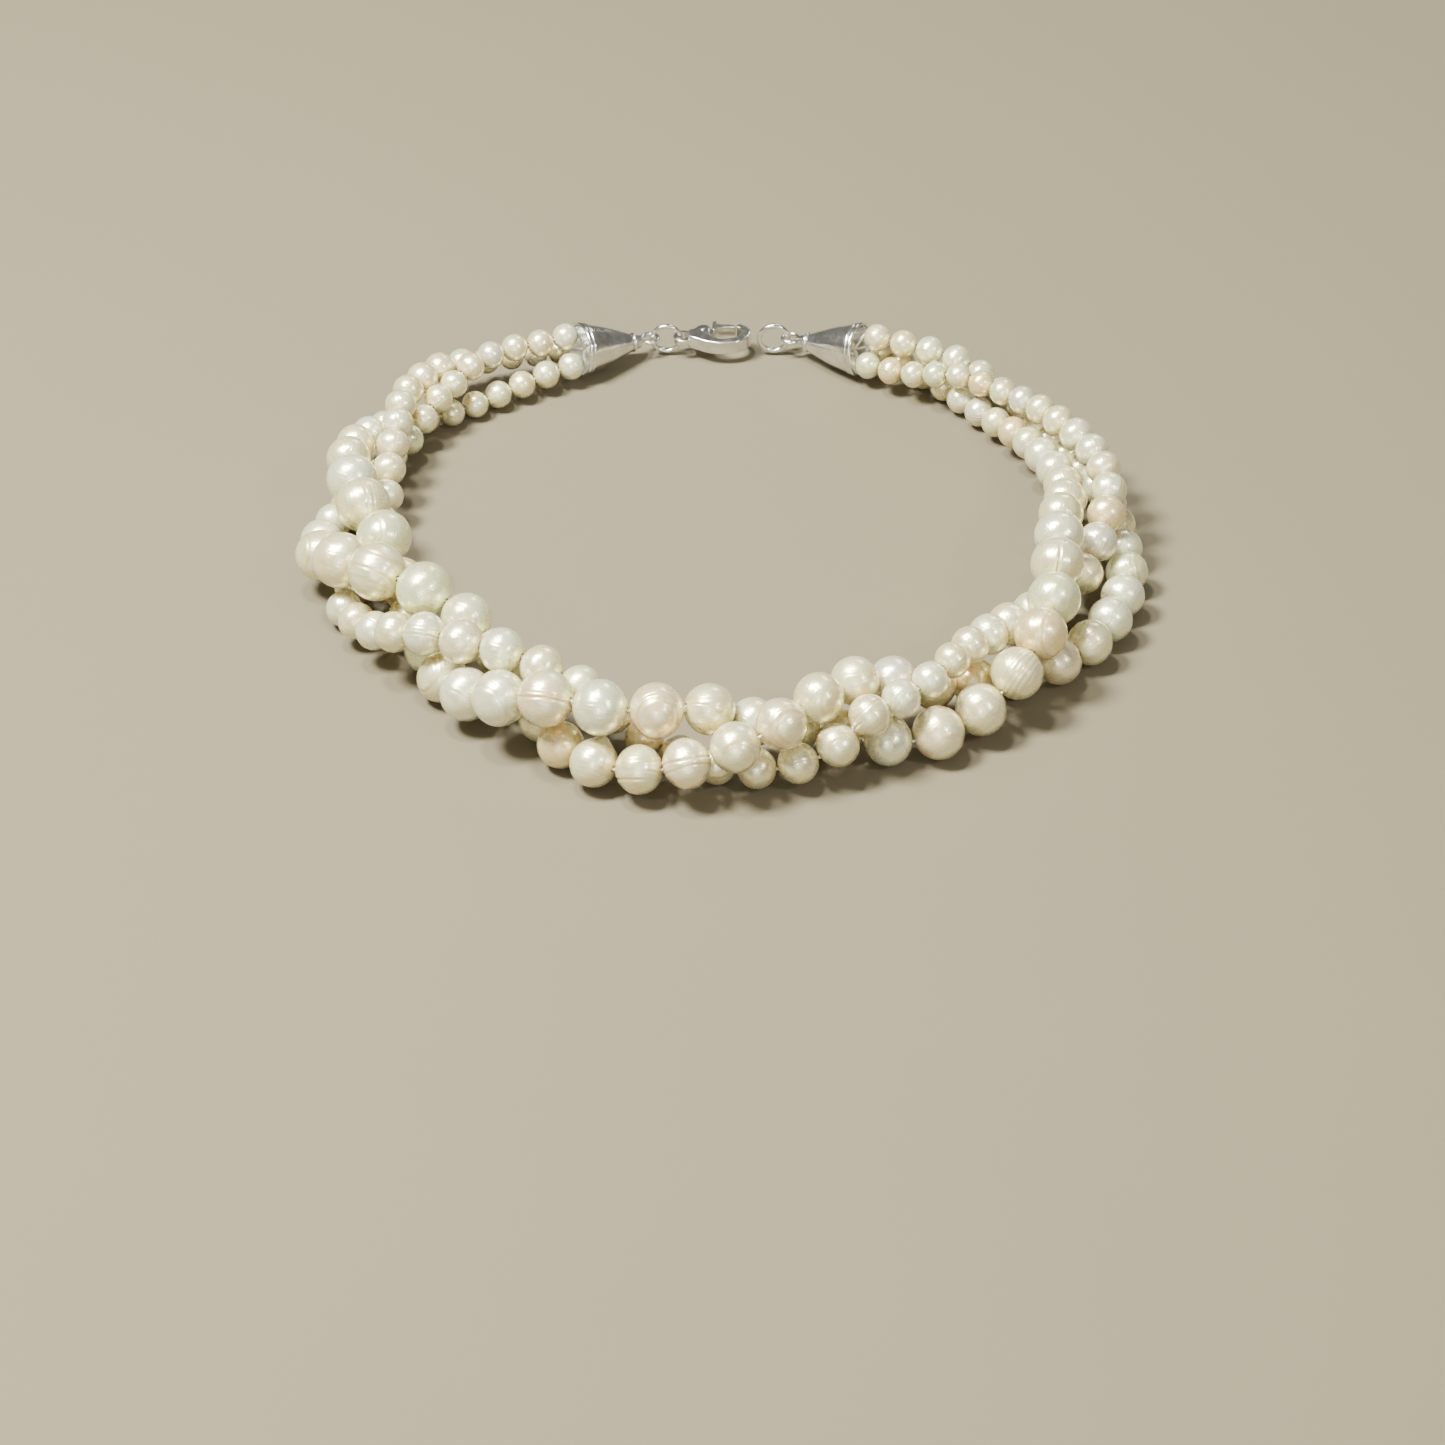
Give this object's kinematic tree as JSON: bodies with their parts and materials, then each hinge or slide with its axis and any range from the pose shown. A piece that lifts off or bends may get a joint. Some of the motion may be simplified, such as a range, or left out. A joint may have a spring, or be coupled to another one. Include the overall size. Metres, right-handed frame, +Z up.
{
  "type": "pearl necklace",
  "caption": "Twisted multi-strand choker of graduated freshwater pearls, lying open as a ring, with end cones and a lobster clasp behind; it is worn close round a neck.",
  "frame": {"origin": "middle of the footprint, on the surface that the necklace lies on", "axes": "+X across the ring to the wearer's left, -Y to the front of the neck, +Y to the clasp at the nape, +Z up"},
  "size_m": [0.1536, 0.1488, 0.0197],
  "materials": {
    "pearl": "gloss",
    "silver": "satin",
    "silk": "matte"
  },
  "bodies": {
    "front_link": {"outer_run_07": "pearl", "middle_run_07": "pearl", "inner_run_07": "pearl"},
    "rope_left_1": {"outer_run_06": "pearl", "middle_run_06": "pearl", "inner_run_06": "pearl"},
    "rope_left_2": {"outer_run_05": "pearl", "middle_run_05": "pearl", "inner_run_05": "pearl"},
    "rope_left_3": {"outer_run_04": "pearl", "middle_run_04": "pearl", "inner_run_04": "pearl"},
    "rope_left_4": {"outer_run_03": "pearl", "middle_run_03": "pearl", "inner_run_03": "pearl"},
    "rope_left_5": {"outer_run_02": "pearl", "middle_run_02": "pearl", "inner_run_02": "pearl"},
    "rope_left_6": {"outer_run_01": "pearl", "middle_run_01": "pearl", "inner_run_01": "pearl"},
    "cone_left": {"end_cone_left": "silver", "eye_pin_left": "silver", "thread_knot_left": "silk"},
    "rope_right_1": {"outer_run_08": "pearl", "middle_run_08": "pearl", "inner_run_08": "pearl"},
    "rope_right_2": {"outer_run_09": "pearl", "middle_run_09": "pearl", "inner_run_09": "pearl"},
    "rope_right_3": {"outer_run_10": "pearl", "middle_run_10": "pearl", "inner_run_10": "pearl"},
    "rope_right_4": {"outer_run_11": "pearl", "middle_run_11": "pearl", "inner_run_11": "pearl"},
    "rope_right_5": {"outer_run_12": "pearl", "middle_run_12": "pearl", "inner_run_12": "pearl"},
    "rope_right_6": {"outer_run_13": "pearl", "middle_run_13": "pearl", "inner_run_13": "pearl"},
    "cone_right": {"end_cone_right": "silver", "eye_pin_right": "silver", "thread_knot_right": "silk"},
    "jump_link": {"jump_ring": "silver"},
    "clasp": {"clasp_body": "silver", "clasp_pin": "silver", "clasp_spring": "silver"},
    "lever": {"clasp_lever": "silver"},
    "end_link": {"end_ring": "silver"}
  },
  "joints": [
    {"name": "bend_left_1", "type": "hinge", "parent": "front_link", "child": "rope_left_1", "pos_m": [-0.01921, -0.07018, 0], "axis": [0, 0, 1], "range_deg": [0, 15]},
    {"name": "bend_left_2", "type": "hinge", "parent": "rope_left_1", "child": "rope_left_2", "pos_m": [-0.04213, -0.0556, 0], "axis": [0, 0, 1], "range_deg": [0, 15]},
    {"name": "bend_left_3", "type": "hinge", "parent": "rope_left_2", "child": "rope_left_3", "pos_m": [-0.06274, -0.0341, 0], "axis": [0, 0, 1], "range_deg": [0, 15]},
    {"name": "bend_left_4", "type": "hinge", "parent": "rope_left_3", "child": "rope_left_4", "pos_m": [-0.07444, -0.00446, 0], "axis": [0, 0, 1], "range_deg": [0, 15]},
    {"name": "bend_left_5", "type": "hinge", "parent": "rope_left_4", "child": "rope_left_5", "pos_m": [-0.07271, 0.02343, 0], "axis": [0, 0, 1], "range_deg": [0, 15]},
    {"name": "bend_left_6", "type": "hinge", "parent": "rope_left_5", "child": "rope_left_6", "pos_m": [-0.05935, 0.05197, 0], "axis": [0, 0, 1], "range_deg": [0, 15]},
    {"name": "bend_cone_left", "type": "hinge", "parent": "rope_left_6", "child": "cone_left", "pos_m": [-0.03097, 0.07045, 0], "axis": [0, 0, 1], "range_deg": [0, 15]},
    {"name": "bend_right_1", "type": "hinge", "parent": "front_link", "child": "rope_right_1", "pos_m": [0.01333, -0.06998, 0], "axis": [0, 0, -1], "range_deg": [0, 15]},
    {"name": "bend_right_2", "type": "hinge", "parent": "rope_right_1", "child": "rope_right_2", "pos_m": [0.04196, -0.05767, 0], "axis": [0, 0, -1], "range_deg": [0, 15]},
    {"name": "bend_right_3", "type": "hinge", "parent": "rope_right_2", "child": "rope_right_3", "pos_m": [0.06403, -0.0365, 0], "axis": [0, 0, -1], "range_deg": [0, 15]},
    {"name": "bend_right_4", "type": "hinge", "parent": "rope_right_3", "child": "rope_right_4", "pos_m": [0.07405, -0.01166, 0], "axis": [0, 0, -1], "range_deg": [0, 15]},
    {"name": "bend_right_5", "type": "hinge", "parent": "rope_right_4", "child": "rope_right_5", "pos_m": [0.07451, 0.01759, 0], "axis": [0, 0, -1], "range_deg": [0, 15]},
    {"name": "bend_right_6", "type": "hinge", "parent": "rope_right_5", "child": "rope_right_6", "pos_m": [0.06146, 0.04504, 0], "axis": [0, 0, -1], "range_deg": [0, 15]},
    {"name": "bend_cone_right", "type": "hinge", "parent": "rope_right_6", "child": "cone_right", "pos_m": [0.03005, 0.07045, 0], "axis": [0, 0, -1], "range_deg": [0, 15]},
    {"name": "swing_jump_ring", "type": "hinge", "parent": "cone_left", "child": "jump_link", "pos_m": [-0.01351, 0.07002, 0.0035], "axis": [0, 0, 1], "range_deg": [-25, 25]},
    {"name": "swing_clasp", "type": "hinge", "parent": "jump_link", "child": "clasp", "pos_m": [-0.00801, 0.07002, 0.0035], "axis": [0, 0, 1], "range_deg": [-40, 40]},
    {"name": "press_lever", "type": "hinge", "parent": "clasp", "child": "lever", "pos_m": [-0.00381, 0.07122, 0.0035], "axis": [0, 0, -1], "range_deg": [0, 25], "stiffness_Nm_per_rad": 0.002, "springref_deg": -17.19},
    {"name": "swing_end_ring", "type": "hinge", "parent": "cone_right", "child": "end_link", "pos_m": [0.01259, 0.07002, 0.0035], "axis": [0, 0, 1], "range_deg": [-25, 25]}
  ]
}
